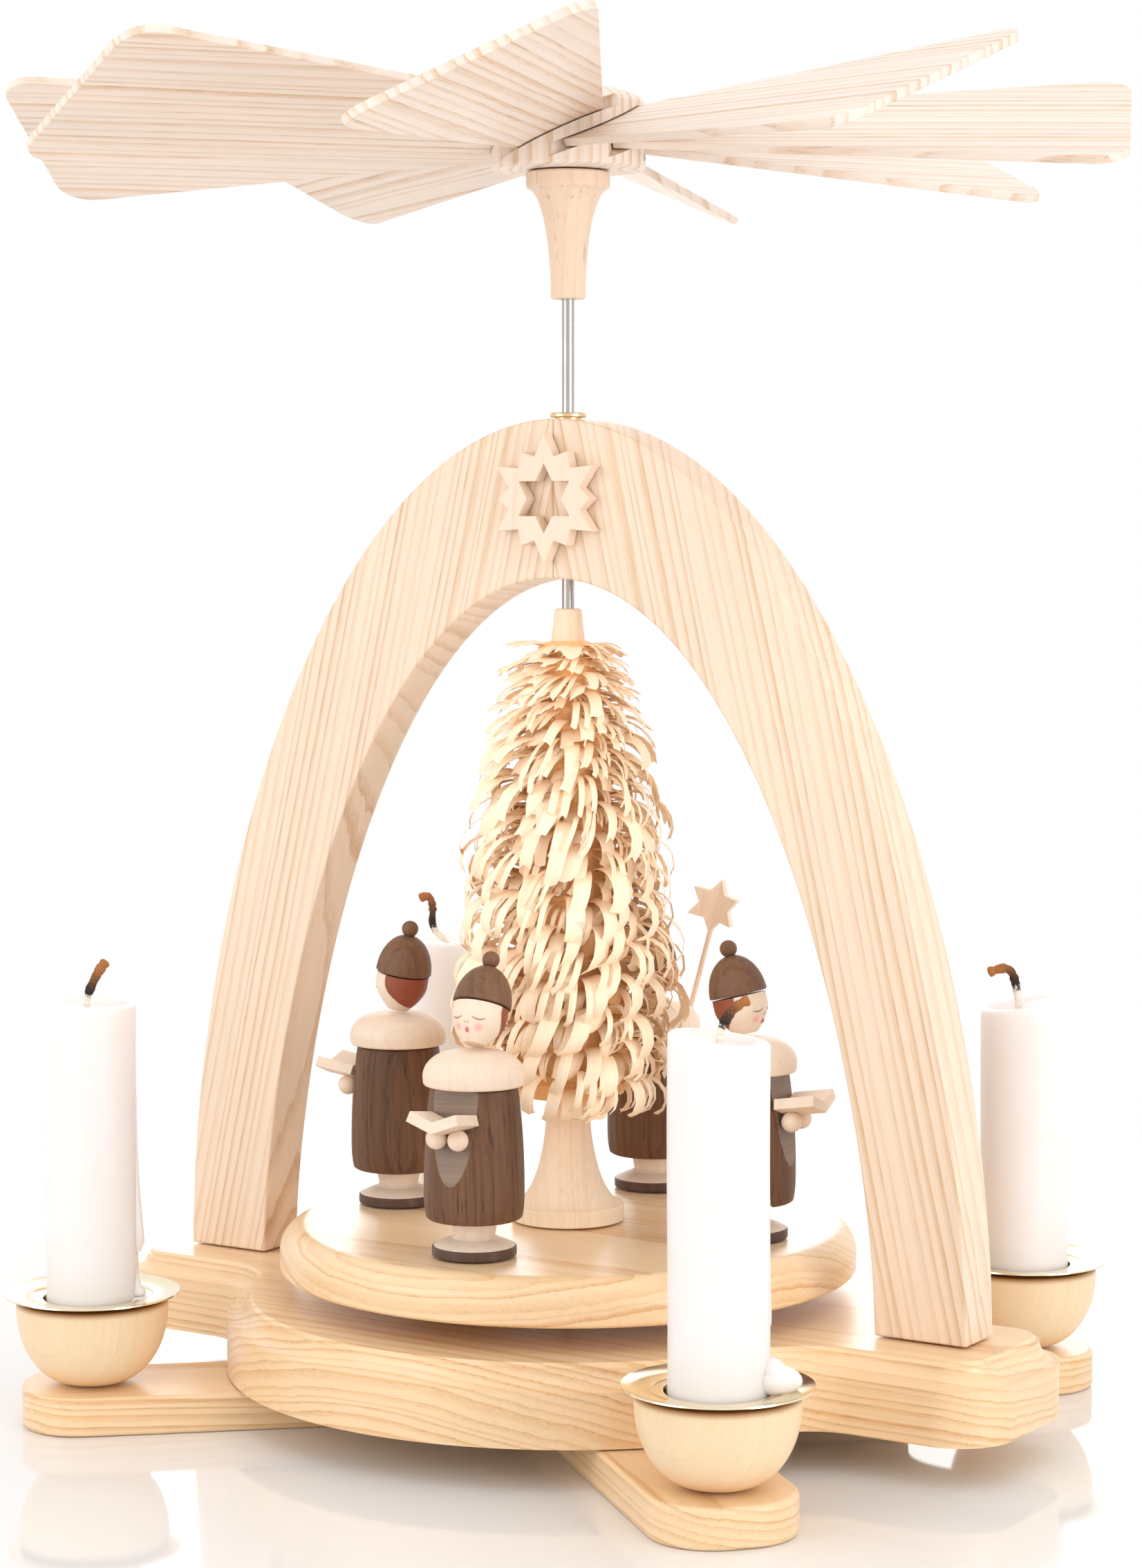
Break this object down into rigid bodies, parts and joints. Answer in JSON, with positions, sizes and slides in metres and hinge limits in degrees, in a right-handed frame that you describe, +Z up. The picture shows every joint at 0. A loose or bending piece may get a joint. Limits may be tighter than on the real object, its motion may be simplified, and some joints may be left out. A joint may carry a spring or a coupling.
{
  "type": "christmas pyramid",
  "caption": "Table-top wooden christmas pyramid: an arch over a turntable with carol singers round a shaved tree, turned by a wing wheel in the warm air of candles in cups.",
  "frame": {"origin": "on the floor under the shaft", "axes": "+Z up along the shaft, X along the arch, front towards -Y"},
  "size_m": [0.203, 0.203, 0.2483],
  "materials": {
    "ash": "clear satin lacquer on natural ash",
    "pale_ash": "bare planed ash",
    "maple": "turned smooth, clear satin",
    "beech": "turned smooth, bare",
    "linden": "bare, shaved",
    "stained": "dark stain, satin",
    "brass": "spun and polished",
    "steel": "drawn bright",
    "wax": "white wax"
  },
  "bodies": {
    "base": {"foot_bar_1": "ash", "foot_bar_2": "ash", "base_plate": "ash", "arch_left": "ash", "arch_right": "ash", "arch_screw_left": "steel", "arch_screw_right": "steel", "arch_star": "maple", "bearing_bush": "brass", "pivot_cup": "brass", "candle_cup_front_right": "maple", "candle_cup_front_left": "maple", "candle_cup_back_right": "maple", "candle_cup_back_left": "maple", "drip_dish_front_right": "brass", "drip_dish_front_left": "brass", "drip_dish_back_right": "brass", "drip_dish_back_left": "brass"},
    "rotor": {"shaft": "steel", "turntable": "ash", "tree_trunk": "linden", "shaved_tree": "linden", "hub_stem": "beech", "wing_hub": "pale_ash", "wing_1": "pale_ash", "wing_2": "pale_ash", "wing_3": "pale_ash", "wing_4": "pale_ash", "wing_5": "pale_ash", "wing_6": "pale_ash", "wing_7": "pale_ash", "wing_8": "pale_ash", "singer_1_foot": "stained", "singer_1_coat": "stained", "singer_1_collar": "maple", "singer_1_head": "maple", "singer_1_cap": "stained", "singer_1_songbook": "maple", "singer_2_foot": "stained", "singer_2_coat": "stained", "singer_2_collar": "maple", "singer_2_head": "maple", "singer_2_cap": "stained", "singer_2_songbook": "maple", "singer_3_foot": "stained", "singer_3_coat": "stained", "singer_3_collar": "maple", "singer_3_head": "maple", "singer_3_cap": "stained", "singer_3_star_staff": "maple", "singer_4_foot": "stained", "singer_4_coat": "stained", "singer_4_collar": "maple", "singer_4_head": "maple", "singer_4_cap": "stained", "singer_4_songbook": "maple"},
    "candle_front_right": {"candle_front_right": "wax"},
    "candle_front_left": {"candle_front_left": "wax"},
    "candle_back_right": {"candle_back_right": "wax"},
    "candle_back_left": {"candle_back_left": "wax"}
  },
  "joints": [
    {"name": "rotor_spin", "type": "hinge", "parent": "base", "child": "rotor", "pos_m": [0, 0, 0.1], "axis": [0, 0, 1], "continuous": true},
    {"name": "candle_front_right_lift", "type": "slide", "parent": "base", "child": "candle_front_right", "axis": [0, 0, 1], "range_m": [0, 0.03]},
    {"name": "candle_front_left_lift", "type": "slide", "parent": "base", "child": "candle_front_left", "axis": [0, 0, 1], "range_m": [0, 0.03]},
    {"name": "candle_back_right_lift", "type": "slide", "parent": "base", "child": "candle_back_right", "axis": [0, 0, 1], "range_m": [0, 0.03]},
    {"name": "candle_back_left_lift", "type": "slide", "parent": "base", "child": "candle_back_left", "axis": [0, 0, 1], "range_m": [0, 0.03]}
  ]
}
